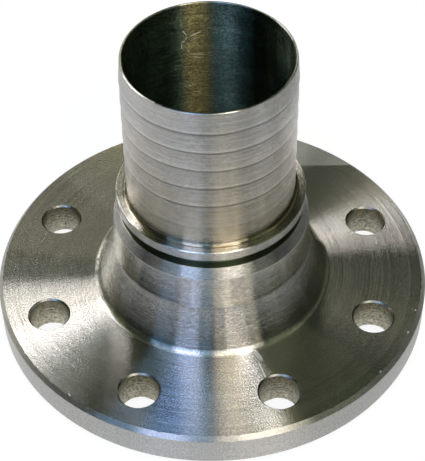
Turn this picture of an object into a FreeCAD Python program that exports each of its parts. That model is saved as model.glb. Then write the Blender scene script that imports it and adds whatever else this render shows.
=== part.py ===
import FreeCAD, Part
import math
import os

# Turned flange with a ribbed hose shank: one piece of stainless bar.
# Millimetres. The origin is the centre of the sealing face, and +Z runs up the axis to the hose end.

# Flange
flange_diameter = 200.0
flange_thickness = 20.0  # sealing face to hub side, raised face included
raised_face_diameter = 138.0
raised_face_height = 3.0
rim_chamfer = 1.8

# Bolt holes
bolt_circle_diameter = 160.0
bolt_hole_diameter = 18.0
bolt_hole_count = 8
bolt_hole_chamfer = 0.7

# Bore
bore_diameter = 71.0
bore_entry_chamfer = 1.0
bore_tip_chamfer = 0.4

# Hub: a cone, a slim neck above it and a steep bevel that leads to the claw groove
hub_base_diameter = 106.8  # where the cone would meet the flange
hub_foot_radius = 3.0
hub_cone_height = 22.0
neck_foot_diameter = 90.4
neck_height = 16.4
neck_taper = 3.8  # degrees to the axis
bevel_height = 5.0
bevel_angle = 28.0  # degrees to the axis

# Claw groove and the collar that the clamp shells hook behind
groove_width = 5.4
groove_depth = 4.8  # below the collar
collar_diameter = 84.6
collar_thickness = 4.6
collar_lip_chamfer = 0.6
collar_foot_radius = 1.8

# Hose shank: plain land, then teeth that slope up to the hose and drop square to the flange
shank_diameter = 75.0  # over the teeth and over the land
shank_length = 73.0  # above the collar
tooth_pitch = 10.0
tooth_count = 5
tooth_drop = 0.4
tip_diameter = 73.4

flange_radius = flange_diameter / 2
raised_face_radius = raised_face_diameter / 2
bore_radius = bore_diameter / 2
hub_base_radius = hub_base_diameter / 2
neck_foot_radius = neck_foot_diameter / 2
collar_radius = collar_diameter / 2
shank_radius = shank_diameter / 2
tip_radius = tip_diameter / 2
tooth_root_radius = shank_radius - tooth_drop
groove_radius = collar_radius - groove_depth
bolt_hole_radius = bolt_hole_diameter / 2

neck_foot_z = flange_thickness + hub_cone_height
neck_top_z = neck_foot_z + neck_height
neck_top_radius = neck_foot_radius - neck_height * math.tan(math.radians(neck_taper))
groove_floor_z = neck_top_z + bevel_height
groove_lip_radius = neck_top_radius - bevel_height * math.tan(math.radians(bevel_angle))
collar_under_z = groove_floor_z + groove_width
collar_top_z = collar_under_z + collar_thickness
tip_z = collar_top_z + shank_length

SHARP = None
ROUND = "round"
CHAMFER = "chamfer"


def corner(radius, height, edge=SHARP, size=0.0):
    """One corner of the half section, with the round or chamfer that breaks it."""
    return FreeCAD.Vector(radius, 0, height), edge, size


def section_edges(corners):
    """The closed outline through the corners, with each broken corner as an arc or a straight cut."""
    edges = []
    starts = []
    for index, (point, edge, size) in enumerate(corners):
        to_last = (corners[index - 1][0] - point).normalize()
        to_next = (corners[(index + 1) % len(corners)][0] - point).normalize()
        if edge is SHARP:
            starts.append((point, point, None))
            continue
        half_angle = to_last.getAngle(to_next) / 2
        setback = size / math.tan(half_angle) if edge == ROUND else size
        first = point + to_last * setback
        last = point + to_next * setback
        middle = None
        if edge == ROUND:
            inward = (to_last + to_next).normalize()
            middle = point + inward * (size / math.sin(half_angle) - size)
        starts.append((first, last, middle))
    for index, (first, last, middle) in enumerate(starts):
        if middle is not None:
            edges.append(Part.Arc(first, middle, last).toShape())
        elif first != last:
            edges.append(Part.makeLine(first, last))
        edges.append(Part.makeLine(last, starts[(index + 1) % len(starts)][0]))
    return edges


def sealing_side():
    """Bore entry, raised face and the underside of the rim, from the bore outwards."""
    return [
        corner(bore_radius, 0, CHAMFER, bore_entry_chamfer),
        corner(raised_face_radius, 0),
        corner(raised_face_radius, raised_face_height),
        corner(flange_radius, raised_face_height, CHAMFER, rim_chamfer),
        corner(flange_radius, flange_thickness, CHAMFER, rim_chamfer),
    ]


def hub_and_collar():
    """Hub cone, neck, bevel, claw groove and collar, from the flange upwards."""
    return [
        corner(hub_base_radius, flange_thickness, ROUND, hub_foot_radius),
        corner(neck_foot_radius, neck_foot_z),
        corner(neck_top_radius, neck_top_z),
        corner(groove_lip_radius, groove_floor_z),
        corner(groove_radius, groove_floor_z),
        corner(groove_radius, collar_under_z),
        corner(collar_radius, collar_under_z),
        corner(collar_radius, collar_top_z, CHAMFER, collar_lip_chamfer),
        corner(shank_radius, collar_top_z, ROUND, collar_foot_radius),
    ]


def shank_teeth():
    """The land, then one square drop and one slope for each tooth, up to the tip."""
    lowest_tooth_z = tip_z - tooth_count * tooth_pitch
    corners = [corner(shank_radius, lowest_tooth_z - tooth_pitch)]
    for tooth in range(tooth_count):
        crest_z = lowest_tooth_z + tooth * tooth_pitch
        corners.append(corner(tooth_root_radius, crest_z))
        corners.append(corner(shank_radius, crest_z))
    corners.append(corner(tip_radius, tip_z))
    corners.append(corner(bore_radius, tip_z, CHAMFER, bore_tip_chamfer))
    return corners


def turned_body():
    outline = Part.Wire(section_edges(sealing_side() + hub_and_collar() + shank_teeth()))
    return Part.Face(outline).revolve(FreeCAD.Vector(0, 0, 0), FreeCAD.Vector(0, 0, 1), 360)


def bolt_hole_cutter():
    """A drill and its two countersinks, standing on the axis of the flange."""
    drill_height = flange_thickness - raised_face_height
    base = FreeCAD.Vector(0, 0, raised_face_height)
    mouth_radius = bolt_hole_radius + bolt_hole_chamfer
    drill = Part.makeCylinder(bolt_hole_radius, drill_height, base)
    lower = Part.makeCone(mouth_radius, bolt_hole_radius, bolt_hole_chamfer, base)
    upper_base = base + FreeCAD.Vector(0, 0, drill_height - bolt_hole_chamfer)
    upper = Part.makeCone(bolt_hole_radius, mouth_radius, bolt_hole_chamfer, upper_base)
    return drill.fuse([lower, upper])


def bolt_holes():
    """The ring of holes, with the centre lines halfway between two holes."""
    spacing = 360.0 / bolt_hole_count
    cutters = []
    for hole in range(bolt_hole_count):
        cutter = bolt_hole_cutter()
        cutter.translate(FreeCAD.Vector(bolt_circle_diameter / 2, 0, 0))
        cutter.rotate(FreeCAD.Vector(0, 0, 0), FreeCAD.Vector(0, 0, 1), spacing * (hole + 0.5))
        cutters.append(cutter)
    return cutters


def pipe_flange():
    return turned_body().cut(bolt_holes())


os.makedirs("parts", exist_ok=True)
pipe_flange().exportStep("parts/pipe_flange.step")
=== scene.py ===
import math

import bmesh
import bpy
from mathutils import Matrix, Vector


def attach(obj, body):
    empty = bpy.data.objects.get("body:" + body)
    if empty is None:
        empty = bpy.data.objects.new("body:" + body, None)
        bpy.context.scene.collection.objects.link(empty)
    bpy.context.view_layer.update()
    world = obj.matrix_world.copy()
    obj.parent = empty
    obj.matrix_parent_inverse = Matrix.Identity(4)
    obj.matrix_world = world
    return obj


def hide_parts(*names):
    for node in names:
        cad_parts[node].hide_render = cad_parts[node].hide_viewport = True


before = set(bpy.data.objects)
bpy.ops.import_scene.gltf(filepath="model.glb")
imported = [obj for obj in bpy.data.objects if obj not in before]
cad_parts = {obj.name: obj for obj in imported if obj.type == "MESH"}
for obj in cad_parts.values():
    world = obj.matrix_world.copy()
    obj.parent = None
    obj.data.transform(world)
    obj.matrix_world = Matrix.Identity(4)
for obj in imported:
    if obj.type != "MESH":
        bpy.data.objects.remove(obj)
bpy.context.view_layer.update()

# Sizes in millimetres, as in the part's own drawing. The origin is the centre of the sealing face.
MM = 0.001
FLANGE_RADIUS = 100.0
FLANGE_TOP = 20.0
RIM_BOTTOM = 3.0
RIM_CHAMFER = 1.8
RAISED_FACE_RADIUS = 69.0
BOLT_CIRCLE_RADIUS = 80.0
BOLT_HOLE_RADIUS = 9.0
BOLT_HOLE_COUNT = 8
BOLT_HOLE_CHAMFER = 0.7
BORE_RADIUS = 35.5
BORE_ENTRY_CHAMFER = 1.0
BORE_TIP_CHAMFER = 0.4
HUB_BASE = (53.4, FLANGE_TOP)
HUB_FOOT_RADIUS = 3.0
NECK_FOOT = (45.2, 42.0)
NECK_TOP = (44.11, 58.4)
GROOVE_LIP_RADIUS = 41.45
GROOVE_RADIUS = 37.5
GROOVE_BOTTOM = 63.4
GROOVE_TOP = 68.8
COLLAR_RADIUS = 42.3
COLLAR_TOP = 73.4
SHANK_RADIUS = 37.5
TOOTH_ROOT_RADIUS = 37.1
TOOTH_PITCH = 10.0
TOOTH_COUNT = 5
TIP_RADIUS = 36.7
TIP_HEIGHT = 146.4
LOWEST_TOOTH = TIP_HEIGHT - TOOTH_COUNT * TOOTH_PITCH

RIM_EDGE_RADIUS = FLANGE_RADIUS - RIM_CHAMFER
FACE_INNER_RADIUS = 60.0  # where the drilled part of the flange face begins
HOLE_MOUTH_RADIUS = BOLT_HOLE_RADIUS + BOLT_HOLE_CHAMFER
TURNING_STEPS = 384
DRILLING_STEPS = 72
SMOOTH_ANGLE = math.radians(32)  # corners sharper than this show as edges
SLACK = 0.01  # how near a corner has to be to count as that corner

# Where one finish ends and the next begins
RIM_FINISH_RADIUS = RIM_EDGE_RADIUS - 0.1
FOOT_FINISH_TOP = FLANGE_TOP + HUB_FOOT_RADIUS * 0.66
SHOULDER_BOTTOM = COLLAR_TOP - 0.3
BORE_FINISH_RADIUS = BORE_RADIUS + BORE_TIP_CHAMFER * 0.8


# The body in mesh

def setback(round_radius, corner, before, after):
    """How far from a corner of the section its round begins."""
    to_before = Vector(before) - Vector(corner)
    to_after = Vector(after) - Vector(corner)
    return round_radius / math.tan(to_before.angle(to_after) / 2)


def rim_section():
    return [
        (RIM_EDGE_RADIUS, RIM_BOTTOM),
        (FLANGE_RADIUS, RIM_BOTTOM + RIM_CHAMFER),
        (FLANGE_RADIUS, FLANGE_TOP - RIM_CHAMFER),
        (RIM_EDGE_RADIUS, FLANGE_TOP),
    ]


def hub_to_bore_section():
    """The half section from the flange face over hub, collar, teeth and tip, and down the bore to the rim's
    underside."""
    corners = [
        (FACE_INNER_RADIUS, FLANGE_TOP),
        HUB_BASE,
        NECK_FOOT,
        NECK_TOP,
        (GROOVE_LIP_RADIUS, GROOVE_BOTTOM),
        (GROOVE_RADIUS, GROOVE_BOTTOM),
        (GROOVE_RADIUS, GROOVE_TOP),
        (COLLAR_RADIUS, GROOVE_TOP),
        (COLLAR_RADIUS, COLLAR_TOP),
        (SHANK_RADIUS, COLLAR_TOP),
        (SHANK_RADIUS, LOWEST_TOOTH - TOOTH_PITCH),
    ]
    for tooth in range(TOOTH_COUNT):
        crest = LOWEST_TOOTH + tooth * TOOTH_PITCH
        corners += [(TOOTH_ROOT_RADIUS, crest), (SHANK_RADIUS, crest)]
    corners += [
        (TIP_RADIUS, TIP_HEIGHT),
        (BORE_RADIUS + BORE_TIP_CHAMFER, TIP_HEIGHT),
        (BORE_RADIUS, TIP_HEIGHT - BORE_TIP_CHAMFER),
        (BORE_RADIUS, BORE_ENTRY_CHAMFER),
        (BORE_RADIUS + BORE_ENTRY_CHAMFER, 0.0),
        (RAISED_FACE_RADIUS, 0.0),
        (RAISED_FACE_RADIUS, RIM_BOTTOM),
    ]
    return corners


def edge_breaks():
    """Corners of the section, each with the setback and the segments of its round."""
    foot = setback(HUB_FOOT_RADIUS, HUB_BASE, (FACE_INNER_RADIUS, FLANGE_TOP), NECK_FOOT)
    breaks = [
        (HUB_BASE, foot, 10),
        (NECK_FOOT, 0.6, 2),
        (NECK_TOP, 0.35, 2),
        ((GROOVE_LIP_RADIUS, GROOVE_BOTTOM), 0.2, 2),
        ((GROOVE_RADIUS, GROOVE_BOTTOM), 0.7, 3),
        ((GROOVE_RADIUS, GROOVE_TOP), 0.7, 3),
        ((COLLAR_RADIUS, GROOVE_TOP), 0.3, 2),
        ((COLLAR_RADIUS, COLLAR_TOP), 0.7, 5),
        ((SHANK_RADIUS, COLLAR_TOP), 1.8, 8),
        ((TIP_RADIUS, TIP_HEIGHT), 0.2, 2),
        ((BORE_RADIUS + BORE_TIP_CHAMFER, TIP_HEIGHT), 0.08, 2),
        ((RAISED_FACE_RADIUS, 0.0), 0.5, 2),
    ]
    breaks += [(corner, 0.15, 2) for corner in rim_section()]
    for tooth in range(TOOTH_COUNT):
        breaks.append(((SHANK_RADIUS, LOWEST_TOOTH + tooth * TOOTH_PITCH), 0.12, 2))
    return breaks


def spin_chain(mesh, corners, centre, steps):
    """Turns an open chain of corners about a vertical axis through the centre, all the way round."""
    points = [mesh.verts.new((centre.x + radius * MM, centre.y, height * MM)) for radius, height in corners]
    lines = [mesh.edges.new(pair) for pair in zip(points, points[1:])]
    bmesh.ops.spin(
        mesh, geom=points + lines, cent=centre, axis=(0, 0, 1), angle=2 * math.pi, steps=steps, use_merge=True
    )


def ring_edges(mesh, corner):
    """The edges of the ring that one corner of the section has turned into."""
    radius, height = corner

    def on_ring(vert):
        near = abs(vert.co.xy.length / MM - radius) < SLACK
        return near and abs(vert.co.z / MM - height) < SLACK

    return [edge for edge in mesh.edges if all(on_ring(vert) for vert in edge.verts)]


def hole_centres():
    spacing = 2 * math.pi / BOLT_HOLE_COUNT
    arm = Vector((BOLT_CIRCLE_RADIUS * MM, 0, 0))
    return [Matrix.Rotation((hole + 0.5) * spacing, 3, "Z") @ arm for hole in range(BOLT_HOLE_COUNT)]


def beside_hole(place, radius):
    return any((place.xy - centre.xy).length < radius * MM for centre in hole_centres())


def fill_drilled_plane(mesh, height, inner_radius):
    """Closes one side of the rim between its two rings, around the mouths of the holes."""
    edges = ring_edges(mesh, (inner_radius, height)) + ring_edges(mesh, (RIM_EDGE_RADIUS, height))
    for edge in mesh.edges:
        if all(abs(vert.co.z / MM - height) < SLACK for vert in edge.verts):
            if beside_hole((edge.verts[0].co + edge.verts[1].co) / 2, HOLE_MOUTH_RADIUS + SLACK):
                edges.append(edge)
    bmesh.ops.triangle_fill(mesh, edges=edges, use_beauty=True, use_dissolve=False, normal=(0, 0, 1))


def place_of(centre):
    """Which finish a face of the body has, from where it lies."""
    radius = centre.xy.length / MM
    height = centre.z / MM
    on_plate = radius > RAISED_FACE_RADIUS
    if on_plate and abs(height - FLANGE_TOP) > SLACK and beside_hole(centre, HOLE_MOUTH_RADIUS):
        return "drilled wall"
    if height < RIM_BOTTOM + SLACK:
        return "sealing face"
    if height > TIP_HEIGHT - BORE_TIP_CHAMFER and radius > BORE_FINISH_RADIUS:
        return "tip edge"
    if radius > RIM_FINISH_RADIUS:
        return "turned rim"
    if height < FLANGE_TOP + SLACK and radius > HUB_BASE[0]:
        return "turned face"
    if radius < BORE_FINISH_RADIUS:
        return "bored wall"
    if height < FOOT_FINISH_TOP:
        return "hub foot round"
    if height < NECK_FOOT[1]:
        return "turned hub"
    if height < NECK_TOP[1]:
        return "turned neck"
    if height < GROOVE_BOTTOM - SLACK:
        return "turned bevel"
    if height < GROOVE_TOP - SLACK:
        return "claw groove"
    if height < COLLAR_TOP + SLACK and radius > SHANK_RADIUS + SLACK:
        return "turned collar" if height < SHOULDER_BOTTOM else "turned shoulder"
    return "turned shank"


def flange_body():
    mesh = bmesh.new()
    axis = Vector((0, 0, 0))
    spin_chain(mesh, rim_section(), axis, TURNING_STEPS)
    spin_chain(mesh, hub_to_bore_section(), axis, TURNING_STEPS)
    wall = [
        (HOLE_MOUTH_RADIUS, FLANGE_TOP),
        (BOLT_HOLE_RADIUS, FLANGE_TOP - BOLT_HOLE_CHAMFER),
        (BOLT_HOLE_RADIUS, RIM_BOTTOM + BOLT_HOLE_CHAMFER),
        (HOLE_MOUTH_RADIUS, RIM_BOTTOM),
    ]
    for centre in hole_centres():
        spin_chain(mesh, wall, centre, DRILLING_STEPS)
    fill_drilled_plane(mesh, FLANGE_TOP, FACE_INNER_RADIUS)
    fill_drilled_plane(mesh, RIM_BOTTOM, RAISED_FACE_RADIUS)
    bmesh.ops.remove_doubles(mesh, verts=mesh.verts, dist=0.001 * MM)
    for corner, size, segments in edge_breaks():
        bmesh.ops.bevel(
            mesh, geom=ring_edges(mesh, corner), offset=size * MM, offset_type="OFFSET",
            segments=segments, profile=0.5, affect="EDGES", clamp_overlap=False, material=-1,
        )
    bmesh.ops.recalc_face_normals(mesh, faces=mesh.faces)
    return mesh


# Materials

class Amount:
    """A number socket of a material, so that shader sums are written as Python expressions."""

    def __init__(self, tree, socket):
        self.tree = tree
        self.socket = socket

    def math(self, operation, *others, first=None):
        """One sum of this amount with others, which it comes before unless another comes first."""
        values = (self, *others) if first is None else (first, self)
        made = self.tree.node("ShaderNodeMath", {"operation": operation}, dict(enumerate(values)))
        return Amount(self.tree, made.outputs[0])

    def __add__(self, other):
        return self.math("ADD", other)

    def __sub__(self, other):
        return self.math("SUBTRACT", other)

    def __mul__(self, other):
        return self.math("MULTIPLY", other)

    def __truediv__(self, other):
        return self.math("DIVIDE", other)

    def __radd__(self, other):
        return self.math("ADD", first=other)

    def __rsub__(self, other):
        return self.math("SUBTRACT", first=other)

    def __rmul__(self, other):
        return self.math("MULTIPLY", first=other)

    def near(self, middle, reach):
        """1 where the amount is the middle one, falling to 0 at that reach on both sides of it."""
        return (1 - (self - middle).math("ABSOLUTE") / reach).math("MAXIMUM", 0.0)

    def ramp(self, low, high):
        """0 below low, 1 above high, and a straight rise between them."""
        inputs = {"Value": self, "From Min": low, "From Max": high, "To Min": 0.0, "To Max": 1.0}
        return self.tree.amount("ShaderNodeMapRange", "Result", {"clamp": True}, inputs)


class Tree:
    """The nodes of one material or of the world."""

    def __init__(self, owner):
        owner.use_nodes = True
        self.nodes = owner.node_tree.nodes
        self.links = owner.node_tree.links
        self.nodes.clear()

    def node(self, kind, settings=None, inputs=None):
        """A node of that type: its settings first, then the values or links of its sockets."""
        made = self.nodes.new(kind)
        for name, value in (settings or {}).items():
            setattr(made, name, value)
        for name, value in (inputs or {}).items():
            if isinstance(value, Amount):
                value = value.socket
            if isinstance(value, bpy.types.NodeSocket):
                self.links.new(value, made.inputs[name])
            else:
                made.inputs[name].default_value = value
        return made

    def amount(self, kind, output, settings=None, inputs=None):
        return Amount(self, self.node(kind, settings, inputs).outputs[output])

    def mix(self, factor, first, second, blend="MIX"):
        """A colour between two, in RGB, or the first one multiplied by the second."""
        settings = {"data_type": "RGBA", "blend_type": blend}
        made = self.node("ShaderNodeMix", settings, {0: factor, 6: first, 7: second})
        return made.outputs[2]

    def lighten(self, colour, amount):
        """A colour made that many times as light."""
        return self.mix(1.0, colour, amount, "MULTIPLY")


class Lathe:
    """Where a point is on the turned part: its radius and height in millimetres and its turn round the axis.
    east and north are the level parts of the direction from the axis to it."""

    def __init__(self, tree):
        self.tree = tree
        place = tree.node("ShaderNodeTexCoord").outputs["Object"]
        parts = tree.node("ShaderNodeSeparateXYZ", None, {0: place})
        x, y, z = (Amount(tree, socket) for socket in parts.outputs)
        reach = (x * x + y * y).math("SQRT")
        self.place = place
        self.radius = reach / MM
        self.height = z / MM
        self.east = x / reach
        self.north = y / reach
        self.turn = y.math("ARCTAN2", x)

    def noise(self, dimensions, inputs):
        """Noise about 0."""
        settings = {"noise_dimensions": dimensions}
        return self.tree.amount("ShaderNodeTexNoise", 0, settings, inputs) - 0.5

    def rings(self, along, scale, detail=2.0):
        """Noise that changes only along the section, so it shows as rings round the axis."""
        return self.noise("1D", {"W": along * scale, "Scale": 1.0, "Detail": detail, "Roughness": 0.5})

    def streaks(self, along, around, across, detail=2.0, seed=0.0):
        """Noise drawn out round the axis: around is its count to the radian, across its count to the
        millimetre."""
        inputs = {0: self.east * around, 1: self.north * around, 2: along * across + seed}
        spot = self.tree.node("ShaderNodeCombineXYZ", None, inputs).outputs[0]
        return self.noise("3D", {"Vector": spot, "Scale": 1.0, "Detail": detail, "Roughness": 0.5})

    def blotches(self, scale, detail=3.0):
        """Noise that is the same in every direction. scale is its count to the metre."""
        return self.noise("3D", {"Vector": self.place, "Scale": scale, "Detail": detail, "Roughness": 0.55})

    def mark(self, along, turn, middle, length, width, tilt):
        """1 on a narrow mark and 0 beside it. turn and tilt are in degrees, the rest is in millimetres. The
        mark runs round the axis unless it is tilted."""
        around = (self.turn - math.radians(turn)) * self.radius
        up = along - middle
        lean = math.radians(tilt)
        forth = (around * math.cos(lean) + up * math.sin(lean)) / (length / 2)
        aside = (up * math.cos(lean) - around * math.sin(lean)) / (width / 2)
        return (1 - (forth * forth + aside * aside)).ramp(0.0, 0.6)


MICRON = 0.000001
FEED = 24.0  # tool marks to the millimetre
FEED_DRIFT = 0.05  # how far they stray from a true ring, in millimetres
SHOWING_RINGS = 0.9  # rings to the millimetre, of the ones that show
BUMP_STEP = 0.003  # how fine the relief is read, in pixels
GRAIN_TURN = 0.25  # a quarter turn: the highlights spread across the tool marks
STEEL = (0.53, 0.515, 0.495, 1)
# the pale colour of scratches and specks, and of the painted reflection band on the face
SCRATCH_AND_SHEEN = (0.85, 0.84, 0.80, 1)
SPECKS = 0.035  # how much of the steel's light the finest specks scatter, at a sparkle of 1

# How much radius and height count along the section, on level, upright and sloping faces
RADIUS_COUNTS = (1.0, 0.0)
HEIGHT_COUNTS = (0.0, 1.0)
BOTH_COUNT = (-0.5, 0.9)


def steel_surface(tree, colour, roughness, heights, scratches_and_sheen=0.0, stretched=1.0):
    """Bare steel. heights are micrometres, and the mask after them says where it is scratched and scatters
    the light, and where a painted reflection lightens it. stretched is how much its highlights spread across
    the tool marks."""
    relief = {"Strength": 1.0, "Distance": 1.0, "Filter Width": BUMP_STEP, "Height": heights * MICRON}
    bump = tree.node("ShaderNodeBump", None, relief)
    inputs = {
        "Base Color": tree.mix(scratches_and_sheen, colour, SCRATCH_AND_SHEEN),
        "Metallic": 1 - scratches_and_sheen,
        "Roughness": roughness,
        "Anisotropic": stretched,
        "Anisotropic Rotation": GRAIN_TURN,
        "Normal": bump.outputs[0],
    }
    surface = tree.node("ShaderNodeBsdfPrincipled", None, inputs)
    tree.node("ShaderNodeOutputMaterial", None, {"Surface": surface.outputs[0]})


def turned_steel(
    name, across, shine, fan, rings=0.0, grain=0.0, streaky=0.0, sparkle=1.1, colour=STEEL, dress=None,
    marks=(), painted_reflection=None,
):
    """Steel as the lathe leaves it. shine is its roughness. The heights of fan (the finest tool marks), rings
    (the ones that show) and grain (a slight unevenness) are micrometres. streaky and sparkle say how much the
    colour changes in short strokes and in fine specks, and dress changes it further, at some places with
    painted shade and light. Each of the marks is its strength and then what Lathe.mark takes. The last
    argument gives where a painted reflection lightens the steel."""
    material = bpy.data.materials.new(name)
    tree = Tree(material)
    lathe = Lathe(tree)
    along = lathe.radius * across[0] + lathe.height * across[1]
    strokes = lathe.streaks(along, 22.0, 2.6)
    speckle = lathe.blotches(1300.0, detail=1.0)
    tool_marks = lathe.rings(along + speckle * FEED_DRIFT, FEED, detail=1.0)
    heights = tool_marks * fan + lathe.rings(along, SHOWING_RINGS) * rings
    heights = heights + lathe.blotches(420.0, detail=2.0) * grain
    patches = lathe.blotches(28.0) * 0.8 + lathe.streaks(along, 1.6, 0.3, seed=7.0) * 0.9
    paint = tree.lighten(colour, 1 + patches * 0.16 + strokes * streaky + speckle * sparkle)
    if dress:
        paint = dress(tree, lathe, paint)
    scratches_and_sheen = speckle.ramp(0.0, 0.3) * (SPECKS * sparkle)
    scratches_and_sheen = sum((lathe.mark(along, *place) * strength for strength, *place in marks), start=scratches_and_sheen)
    # on the face this adds a painted reflection band, pale like a scratch
    if painted_reflection:
        scratches_and_sheen = scratches_and_sheen + painted_reflection(lathe)
    steel_surface(tree, paint, shine + patches * 0.04, heights, scratches_and_sheen)
    return material


BAND_EDGE = (67.4, 68.6)  # how far behind the axis the painted reflection band begins, in millimetres
BAND_SKEW = 0.03  # how far its edge is turned, in radians


def painted_edge_reflection(lathe):
    """A painted reflection: at the back right the face is lighter behind a straight edge, the mirror image of
    an edge behind the part.
    """
    back = (lathe.north - lathe.east * BAND_SKEW) * lathe.radius
    strength = 0.22 + lathe.east.ramp(0.4, 0.7) * 0.24 + lathe.blotches(60.0) * 0.2
    return back.ramp(*BAND_EDGE) * lathe.east.ramp(0.05, 0.15) * strength


SHANK_BROWN = (0.74, 0.68, 0.56, 1)
BROWN_HEIGHTS = (76.0, 144.0)  # between these the shank goes from brown to bare


def shank_colour_and_painted_tooth_lines(tree, lathe, paint):
    """The shank is dull and brown toward its foot. Each tooth has a painted highlight line over its edge and
    a painted shade line under it, which waver a little, and darkens slightly up to the next."""
    height = lathe.height
    brown = 1.0 - height.ramp(*BROWN_HEIGHTS) + lathe.streaks(height, 7.0, 0.5, detail=3.0, seed=3.0) * 1.2
    paint = tree.mix(brown.ramp(0.0, 1.0), paint, SHANK_BROWN, "MULTIPLY")
    above = height + lathe.streaks(height, 1.4, 0.05, seed=11.0) * 1.6 - LOWEST_TOOTH
    highest = (TOOTH_COUNT - 1) * TOOTH_PITCH
    on_teeth = above.ramp(-5.0, -3.0) * (1 - above.ramp(highest + 3.0, highest + 5.0))
    from_edge = (above + TOOTH_PITCH / 2).math("FLOORED_MODULO", TOOTH_PITCH) - TOOTH_PITCH / 2
    share = above.math("FLOORED_MODULO", TOOTH_PITCH) / TOOTH_PITCH
    # a painted highlight over each tooth's edge and painted shade just under it
    line = from_edge.near(0.9, 0.8) * 0.2 - from_edge.near(-0.3, 1.0) * 0.5 - (share - 0.3) * 0.2
    return tree.lighten(paint, 1 + on_teeth * line)


# the bore's colours: painted shade with a teal tint, painted warm light, and painted deep shade
BORE_PAINTED_SHADE = (0.16, 0.25, 0.20, 1)
BORE_PAINTED_WARM_LIGHT = (0.32, 0.30, 0.145, 1)
BORE_DEEP_SHADE = (0.015, 0.02, 0.012, 1)
DEPTH_HEIGHTS = (58.0, 70.0)  # between these the bore goes from its deepest painted shade to its lighter painted shade


def bore_colour_and_painted_shade(tree, lathe, paint):
    """The bore is darkened all over with painted shade of a teal tint, brown at the back as painted warm
    light where the warm reflection falls, with lighter turned rings and smears, and nearly black farther down
    as painted shade."""
    # brown where the warm reflection falls at the back: a painted warm tint, with random blotches
    brown = (lathe.east.near(-0.16, 0.24) + lathe.blotches(60.0) * 0.5).ramp(0.0, 0.6)
    shaded_and_lit = tree.mix(1.0, paint, tree.mix(brown, BORE_PAINTED_SHADE, BORE_PAINTED_WARM_LIGHT), "MULTIPLY")
    # nearly black farther down: painted shade deep in the bore
    paint = tree.mix(1 - lathe.height.ramp(*DEPTH_HEIGHTS), shaded_and_lit, BORE_DEEP_SHADE)
    lines = lathe.streaks(lathe.height, 4.0, 1.3, seed=5.0)
    smears = lathe.streaks(lathe.height, 2.0, 0.14, seed=9.0)
    # lighter turned rings and smears, and painted shade toward the right
    return tree.lighten(paint, 1 + lines * 1.4 + smears * 1.3 - lathe.east.ramp(0.15, 0.4) * 0.15)


def painted_shading_by_turn(*spots):
    """A dress of painted shade: it takes some of the steel's light, or paints light on where the share is
    below 0.
    Each spot has its turn and its reach in degrees, and the share of the light that it takes."""

    def dress(tree, lathe, paint):
        light = 1.0
        for turn, reach, share in spots:
            light = light - lathe.turn.near(math.radians(turn), math.radians(reach)) * share
        return tree.lighten(paint, light)

    return dress


# the bolt hole walls' colours at the top, in painted shade, and at the bottom
DRILLED_DARK = (0.155, 0.14, 0.088, 1)
DRILLED_LIGHT = (0.47, 0.45, 0.36, 1)
HOLE_EDGE = (0.3, 0.29, 0.26, 1)


def drilled_steel(name):
    """The walls of the bolt holes: rough and brownish, with painted shade that darkens them toward the top
    and in the holes at the back, faint rings from the drill and a smoother chamfer at the top."""
    material = bpy.data.materials.new(name)
    tree = Tree(material)
    lathe = Lathe(tree)
    rings = lathe.rings(lathe.height + lathe.blotches(160.0) * 2.0, 1.1)
    coarse = lathe.blotches(900.0, detail=2.0)
    dirt = lathe.blotches(170.0)
    # lighter toward the bottom: painted shade under the hole's upper edge, mixed with dirt
    light = (lathe.height.ramp(FLANGE_TOP, RIM_BOTTOM) + dirt * 0.8).ramp(0.0, 1.0)
    # the holes at the back of the flange are darker: painted shade
    tone_and_painted_shade = (1 + rings * 1.2 + coarse * 2.6) * (1 - lathe.north.ramp(0.0, 0.6) * 0.3)
    paint = tree.lighten(tree.mix(light, DRILLED_DARK, DRILLED_LIGHT), tone_and_painted_shade)
    chamfer = FLANGE_TOP - BOLT_HOLE_CHAMFER
    edge = lathe.height.ramp(chamfer - 0.05, chamfer + 0.05)
    roughness = 0.42 + dirt * 0.3 - edge * 0.15
    heights = rings * 60.0 + coarse * 90.0
    steel_surface(tree, tree.mix(edge, paint, HOLE_EDGE), roughness, heights, stretched=0.0)
    return material


# The scratches, specks and clouds: strength, turn, middle along the section, length, width and tilt
FACE_MARKS = [
    (0.7, -69.5, 76.0, 42.0, 0.9, 90.0),
    (0.6, -68.3, 58.0, 9.0, 2.6, 80.0),
    (0.8, -128.4, 97.6, 2.2, 0.8, 10.0),
    (0.8, -24.1, 97.6, 1.6, 0.9, 0.0),
    (0.7, -39.8, 97.8, 1.4, 0.8, 0.0),
    (0.7, -15.9, 97.2, 1.2, 0.8, 0.0),
    (0.08, 176.3, 72.5, 9.0, 7.5, 0.0),
    (0.08, -174.8, 71.0, 11.0, 7.0, 0.0),
]
RIM_MARKS = [(0.3, -123.2, 13.5, 7.4, 0.6, 90.0)]
HUB_MARKS = [(0.2, -98.7, 3.2, 22.0, 0.9, 90.0), (0.18, -142.3, 3.2, 22.0, 0.9, 90.0)]
NECK_MARKS = [
    (0.4, -143.4, 57.0, 4.0, 0.5, 40.0),
    (0.4, -141.0, 55.0, 4.0, 0.5, 40.0),
    (0.2, -98.7, 51.0, 22.0, 0.9, 90.0),
    (0.18, -142.3, 48.0, 12.0, 0.9, 90.0),
]
SHANK_MARKS = [
    (0.5, -47.4, 120.5, 7.0, 0.45, 106.0),
    (0.3, -122.0, 95.4, 3.4, 0.5, 10.0),
    (0.3, -117.6, 94.4, 3.6, 0.5, -12.0),
]
TIP_MARKS = [(0.9, -126.0, 36.2, 1.2, 0.8, 0.0)]
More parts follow.
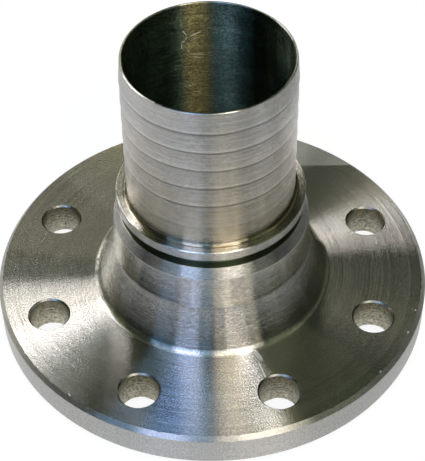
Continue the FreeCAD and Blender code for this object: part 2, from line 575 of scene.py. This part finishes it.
BORE_MARKS = [
    (0.15, 110.8, 137.0, 7.0, 0.6, 90.0),
    (0.5, 108.5, 131.6, 4.4, 0.6, 60.0),
    (0.5, 107.6, 128.5, 2.8, 0.6, 111.0),
    (0.6, 109.8, 126.9, 2.2, 0.8, -18.0),
    (0.5, 111.0, 124.9, 3.4, 0.6, 85.0),
    (0.7, 100.7, 130.2, 6.4, 0.6, -23.0),
    (0.3, 101.3, 127.6, 6.0, 0.5, -23.0),
    (0.5, 100.7, 119.1, 9.0, 0.5, 8.0),
    (0.35, 101.5, 117.6, 8.0, 0.5, 8.0),
    (0.3, 107.0, 104.2, 6.6, 0.5, 33.0),
    (0.12, 21.3, 134.8, 3.3, 0.6, -5.0),
]

# Painted shade round the axis, and painted light where the share is below 0: turn, reach and share
FOOT_PAINTED_SHADING = painted_shading_by_turn((-162.0, 24.0, 0.45), (-136.0, 24.0, -0.3), (-24.0, 50.0, 0.35))
HUB_PAINTED_SHADE = painted_shading_by_turn((-131.0, 20.0, 0.2), (-20.0, 50.0, 0.3))
BEVEL_PAINTED_SHADE = painted_shading_by_turn((-131.0, 22.0, 0.7), (-47.0, 18.0, 0.5), (-5.0, 50.0, 0.7))
COLLAR_PAINTED_SHADE = painted_shading_by_turn((0.0, 45.0, 0.4))
SHOULDER_PAINTED_SHADE = painted_shading_by_turn((-153.0, 16.0, 0.6), (-25.0, 60.0, 0.5))


def finishes():
    """The finish of every place on the body."""
    return [
        turned_steel(
            "turned face", RADIUS_COUNTS, shine=0.12, fan=14.0, rings=0.15, grain=4.5,
            marks=FACE_MARKS, painted_reflection=painted_edge_reflection,
        ),
        turned_steel(
            "turned rim", HEIGHT_COUNTS, shine=0.3, fan=10.0, rings=8.0, grain=10.0, sparkle=0.9,
            marks=RIM_MARKS,
        ),
        # its lighter steel is a painted highlight along the round
        turned_steel(
            "hub foot round", BOTH_COUNT, shine=0.14, fan=16.0, grain=5.0,
            colour=(0.68, 0.66, 0.64, 1), dress=FOOT_PAINTED_SHADING,
        ),
        turned_steel(
            "turned hub", BOTH_COUNT, shine=0.13, fan=11.0, rings=3.0, grain=3.5, streaky=1.2, sparkle=1.0,
            dress=HUB_PAINTED_SHADE, marks=HUB_MARKS,
        ),
        turned_steel(
            "turned neck", HEIGHT_COUNTS, shine=0.14, fan=9.0, rings=2.0, grain=5.0, streaky=1.1, sparkle=0.9,
            marks=NECK_MARKS,
        ),
        turned_steel(
            "turned bevel", BOTH_COUNT, shine=0.16, fan=18.0, rings=2.0, grain=6.0, streaky=0.5, sparkle=0.8,
            dress=BEVEL_PAINTED_SHADE,
        ),
        # its dark colour is painted shade in the recess
        turned_steel(
            "claw groove", BOTH_COUNT, shine=0.3, fan=7.0, sparkle=0.0, colour=(0.15, 0.18, 0.125, 1),
        ),
        turned_steel(
            "turned collar", BOTH_COUNT, shine=0.15, fan=18.0, rings=2.0, grain=6.0, streaky=0.5, sparkle=0.8,
            dress=COLLAR_PAINTED_SHADE,
        ),
        # its lighter steel is painted light on the collar's top
        turned_steel(
            "turned shoulder", BOTH_COUNT, shine=0.15, fan=18.0, rings=2.0, grain=6.0, streaky=0.5,
            sparkle=0.8, colour=(0.8, 0.78, 0.75, 1), dress=SHOULDER_PAINTED_SHADE,
        ),
        turned_steel(
            "turned shank", HEIGHT_COUNTS, shine=0.16, fan=14.0, rings=3.0, grain=5.0, streaky=0.2,
            sparkle=0.5, dress=shank_colour_and_painted_tooth_lines, marks=SHANK_MARKS,
        ),
        # its lighter steel is a painted highlight on the tip's edge
        turned_steel(
            "tip edge", RADIUS_COUNTS, shine=0.2, fan=4.0, colour=(0.8, 0.79, 0.76, 1), marks=TIP_MARKS,
        ),
        turned_steel(
            "bored wall", HEIGHT_COUNTS, shine=0.12, fan=70.0, rings=6.0, grain=8.0, streaky=1.5,
            sparkle=2.5, dress=bore_colour_and_painted_shade, marks=BORE_MARKS,
        ),
        drilled_steel("drilled wall"),
        turned_steel("sealing face", RADIUS_COUNTS, shine=0.2, fan=10.0, rings=6.0, grain=5.0),
    ]


# The part

def make_flange():
    shape = flange_body()
    materials = finishes()
    order = [material.name for material in materials]
    data = bpy.data.meshes.new("pipe_flange_turned")
    for material in materials:
        data.materials.append(material)
    for face in shape.faces:
        face.material_index = order.index(place_of(face.calc_center_median()))
        face.smooth = True
    shape.to_mesh(data)
    shape.free()
    data.set_sharp_from_angle(angle=SMOOTH_ANGLE)
    flange = bpy.data.objects.new("pipe_flange_turned", data)
    bpy.context.scene.collection.objects.link(flange)
    normals = flange.modifiers.new("flat faces stay flat", "WEIGHTED_NORMAL")
    normals.mode = "FACE_AREA"
    normals.weight = 100
    normals.keep_sharp = True
    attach(flange, "root")
    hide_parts("pipe_flange")


# The studio: a sheet of white paper, lamps round the part and the camera

STUDIO_TURN = math.radians(1.68)  # how far the photograph's view stands off the line between two holes

PAPER_TURN = math.radians(25)
PAPER_CENTRE = (-0.198, 0.0)  # from the part's axis, along the paper and across it
PAPER_SIZE = (0.804, 0.56)
PAPER_COLOUR = (0.9, 0.9, 0.9, 1)
PAPER_SEEN = 0.8  # how much of the paper shows as plain white to the camera, the rest shows the shadow
PAPER_REFLECTED = 0.44  # how much of it shows as white in the steel, where the daylight on it is 1
PAPER_WHITE = 1.12  # how strong that white is


def daylight_on_paper(lathe):
    """How light the paper shows in the steel. It is dark under the bore and at the far left, lighter to the
    sides, but for a ring beside the rim, and lightest at the back right."""
    side = (lathe.east * lathe.east).ramp(0.3, 0.8)
    ring = lathe.radius.ramp(106.0, 116.0) * (1 - lathe.radius.ramp(140.0, 158.0))
    right = lathe.east.ramp(0.4, 0.7)
    before_right = right * (1 - lathe.north.ramp(-0.15, 0.1))
    behind_right = right * lathe.north.ramp(0.05, 0.35) * (lathe.radius.ramp(115.0, 140.0) * 0.8 + 0.2)
    far_left = (lathe.east * -1).ramp(0.4, 0.9) * lathe.radius.ramp(200.0, 320.0)
    light = 1.2 - lathe.radius.ramp(120.0, 200.0) * 0.3 + side * 0.55 - side * ring * 0.6
    light = light - before_right * 0.35 + behind_right - far_left * 0.9
    return light * lathe.radius.ramp(45.0, 60.0)


def make_floor():
    """A sheet of white paper under the part. It shows as white, with the part's shadow faint on it."""
    data = bpy.data.meshes.new("studio_paper")
    sheet = bmesh.new()
    turn = Matrix.Rotation(PAPER_TURN, 4, "Z")
    move = Matrix.Translation(Vector((*PAPER_CENTRE, 0)))
    spread = Matrix.Diagonal(Vector((PAPER_SIZE[0] / 2, PAPER_SIZE[1] / 2, 1, 1)))
    bmesh.ops.create_grid(sheet, x_segments=1, y_segments=1, size=1.0, matrix=turn @ move @ spread)
    sheet.to_mesh(data)
    sheet.free()
    material = bpy.data.materials.new("white paper")
    tree = Tree(material)
    camera = tree.amount("ShaderNodeLightPath", "Is Camera Ray")
    glossy = tree.amount("ShaderNodeLightPath", "Is Glossy Ray")
    through = tree.amount("ShaderNodeLightPath", "Is Transmission Ray")
    daylight = daylight_on_paper(Lathe(tree))
    white = camera * PAPER_SEEN + (glossy + through) * (PAPER_REFLECTED * daylight)
    paper = tree.node("ShaderNodeBsdfDiffuse", None, {"Color": PAPER_COLOUR})
    glow = tree.node("ShaderNodeEmission", None, {"Color": (1, 1, 1, 1), "Strength": PAPER_WHITE})
    surface = tree.node("ShaderNodeMixShader", None, {0: white, 1: paper.outputs[0], 2: glow.outputs[0]})
    tree.node("ShaderNodeOutputMaterial", None, {"Surface": surface.outputs[0]})
    data.materials.append(material)
    floor = bpy.data.objects.new("studio_paper", data)
    bpy.context.scene.collection.objects.link(floor)


FAN_CENTRE = (0.0, 0.669)  # seen from above, the direction in which a level face mirrors the camera
LOWEST_LAMP = 0.998  # how far out a direction may lie, 1 being the horizon
FAN_REACHED = 0.985  # how much of the fan a lamp may fill before it meets the horizon
LAMP_DISTANCE = 2.0
LAMP_TARGET = Vector((0, 0, 0.05))

# The lamps fill slices of a fan of directions round its centre, because every turned surface mirrors such a
# fan as one radial band. Each row is a name, the slice's turns in degrees, its reaches from the fan's centre
# and its radiance.
LAMPS = [
    ("left window, near left", (-173, -161), (0.12, 0.3), (3.5, 3.2, 3.0)),
    ("left window, near right", (-161, -150.5), (0.12, 0.3), (1.4, 1.6, 1.8)),
    ("left window, far left", (-173, -161), (0.3, 0.62), (2.8, 2.8, 2.7)),
    ("left window, far right", (-161, -150.5), (0.3, 0.62), (5.0, 4.8, 4.7)),
    ("left window, sill", (-173, -161), (0.62, 0.85), (1.1, 1.1, 0.95)),
    ("left wall, low", (-167, -149), (0.85, 1.15), (0.55, 0.53, 0.38)),
    ("left wall, front", (-150, -135), (0.3, 1.15), (0.1, 0.1, 0.05)),
    ("left lamp, low", (165, 180), (0.6, 0.9), (5.2, 5.0, 4.5)),
    ("left wall, back", (150, 180), (0.12, 0.6), (0.43, 0.42, 0.33)),
    ("back wall, left", (130, 150), (0.12, 0.6), (0.28, 0.27, 0.22)),
    ("left window, edge", (-180, -173), (0.45, 0.85), (0.35, 0.4, 0.36)),
    ("blue window, high outer", (-121, -109), (0.4, 0.8), (0.45, 0.73, 1.02)),
    ("blue window, high middle", (-109, -97), (0.4, 0.8), (0.6, 1.2, 2.6)),
    ("blue window, high inner", (-97, -90.5), (0.4, 0.8), (0.5, 0.8, 1.0)),
    ("blue window, outer", (-121, -109), (0.8, 1.2), (0.3, 0.3, 0.35)),
    ("blue window, middle", (-109, -97), (0.8, 1.2), (2.0, 2.1, 2.5)),
    ("blue window, low outer", (-121, -109), (1.2, 1.7), (0.12, 0.32, 0.62)),
    ("blue window, low middle", (-109, -97), (1.2, 1.7), (1.1, 1.5, 2.4)),
    ("blue window, low inner", (-97, -90.5), (1.2, 1.7), (0.4, 0.65, 0.95)),
    ("warm window, near", (-80, -66), (0.12, 0.4), (1.9, 1.8, 1.0)),
    ("warm window, high inner", (-89.4, -80), (0.4, 0.8), (0.7, 0.8, 1.0)),
    ("warm window, high outer", (-80, -75), (0.4, 0.8), (2.5, 2.5, 2.5)),
    ("warm window, high edge", (-75, -70.5), (0.4, 0.8), (6.8, 6.8, 7.0)),
    ("warm window, inner", (-89.4, -84), (0.8, 1.2), (2.0, 1.75, 1.3)),
    ("warm window, outer", (-84, -71), (0.8, 1.2), (1.85, 1.55, 0.75)),
    ("warm window, low inner", (-89.4, -84), (1.2, 1.7), (1.3, 1.3, 1.2)),
    ("warm window, low outer", (-84, -72), (1.2, 1.7), (2.95, 2.8, 2.5)),
    ("warm window, low edge", (-72, -66), (1.2, 1.7), (1.3, 1.25, 1.0)),
    ("right wall, front", (-66, -50), (0.4, 1.7), (0.16, 0.18, 0.11)),
    ("right wall", (-50, 0), (0.6, 1.3), (0.13, 0.13, 0.085)),
    ("right lamp, near", (13.5, 26), (0.12, 0.33), (0.78, 0.73, 0.64)),
    ("right lamp, far", (13.5, 26), (0.33, 0.6), (0.86, 0.81, 0.68)),
    ("right wall, back", (26, 47), (0.12, 0.6), (0.12, 0.12, 0.09)),
    ("back wall, right", (48, 64), (0.12, 0.6), (0.6, 0.6, 0.5)),
]


def fan_direction(turn, reach):
    """A direction of the fan, from its turn in degrees and its reach as seen from straight above."""
    east = FAN_CENTRE[0] + reach * math.cos(math.radians(turn))
    north = FAN_CENTRE[1] + reach * math.sin(math.radians(turn))
    shrink = min(1.0, LOWEST_LAMP / math.hypot(east, north))
    east *= shrink
    north *= shrink
    return Vector((east, north, math.sqrt(1 - east * east - north * north)))


def fan_limit(turn):
    """How far the fan reaches at that turn before it meets the horizon."""
    along = FAN_CENTRE[1] * math.sin(math.radians(turn))
    return math.sqrt(along * along + 1 - FAN_CENTRE[1] ** 2) - along


def fan_lamp(name, turns, reaches, radiance):
    """A rectangular lamp that fills a slice of the fan. A radiance of 1 would show as white."""
    outer_reach = min(reaches[1], fan_limit(sum(turns) / 2) * FAN_REACHED)
    inner = [fan_direction(turn, reaches[0]) for turn in turns]
    outer = [fan_direction(turn, outer_reach) for turn in turns]
    inner_middle = (inner[0] + inner[1]) / 2
    outer_middle = (outer[0] + outer[1]) / 2
    middle = (inner_middle + outer_middle) / 2
    away = middle.normalized()
    up = outer_middle - inner_middle
    up -= away * up.dot(away)
    right = up.cross(away).normalized()
    width = (abs((inner[1] - inner[0]).dot(right)) + abs((outer[1] - outer[0]).dot(right))) / 2
    brightest = max(radiance)
    lamp = bpy.data.lights.new(name, "AREA")
    lamp.shape = "RECTANGLE"
    lamp.size = width / middle.length * LAMP_DISTANCE
    lamp.size_y = up.length / middle.length * LAMP_DISTANCE
    lamp.color = [part / brightest for part in radiance]
    lamp.energy = brightest * math.pi * lamp.size * lamp.size_y
    stand = bpy.data.objects.new(name, lamp)
    bpy.context.scene.collection.objects.link(stand)
    axes = Matrix((right, away.cross(right), away)).transposed().to_4x4()
    studio = Matrix.Translation(LAMP_TARGET) @ Matrix.Rotation(STUDIO_TURN, 4, "Z")
    stand.matrix_world = studio @ Matrix.Translation(away * LAMP_DISTANCE) @ axes


ROOM = (0.026, 0.034, 0.021, 1)  # the dim room round the lamps


def make_lights():
    world = bpy.data.worlds.new("studio")
    bpy.context.scene.world = world
    tree = Tree(world)
    camera = tree.amount("ShaderNodeLightPath", "Is Camera Ray")
    colour = tree.mix(camera, ROOM, (1, 1, 1, 1))
    glow = tree.node("ShaderNodeBackground", None, {"Color": colour, "Strength": 1.0})
    tree.node("ShaderNodeOutputWorld", None, {"Surface": glow.outputs[0]})
    for name, turns, reaches, radiance in LAMPS:
        fan_lamp(name, turns, reaches, radiance)


# The photograph's own view, fitted to the edges in it, in metres and radians
CAMERA_DISTANCE = 0.676929
CAMERA_TARGET_HEIGHT = 0.00494
CAMERA_RISE = math.radians(48.08798)
CAMERA_YAW = 0.00074
CAMERA_PITCH = -0.04031
CAMERA_ROLL = 0.01578
FOCAL_PIXELS = 1412.19
IMAGE_HEIGHT = 461
SENSOR = 36.0
NEAREST_SEEN = 0.01


def make_camera():
    data = bpy.data.cameras.new("camera")
    data.sensor_width = SENSOR
    data.lens = FOCAL_PIXELS * SENSOR / IMAGE_HEIGHT
    data.clip_start = NEAREST_SEEN
    camera = bpy.data.objects.new("camera", data)
    bpy.context.scene.collection.objects.link(camera)
    back = Vector((0, -math.cos(CAMERA_RISE), math.sin(CAMERA_RISE)))
    stand = Matrix.Translation(Vector((0, 0, CAMERA_TARGET_HEIGHT)) + back * CAMERA_DISTANCE)
    aim = Matrix.Rotation(math.pi / 2 - CAMERA_RISE, 4, "X")
    trim = (
        Matrix.Rotation(-CAMERA_YAW, 4, "Y")
        @ Matrix.Rotation(-CAMERA_PITCH, 4, "X")
        @ Matrix.Rotation(-CAMERA_ROLL, 4, "Z")
    )
    camera.matrix_world = Matrix.Rotation(STUDIO_TURN, 4, "Z") @ stand @ aim @ trim
    bpy.context.scene.camera = camera


make_flange()
make_floor()
make_lights()
make_camera()
bpy.context.scene.view_settings.view_transform = "Standard"
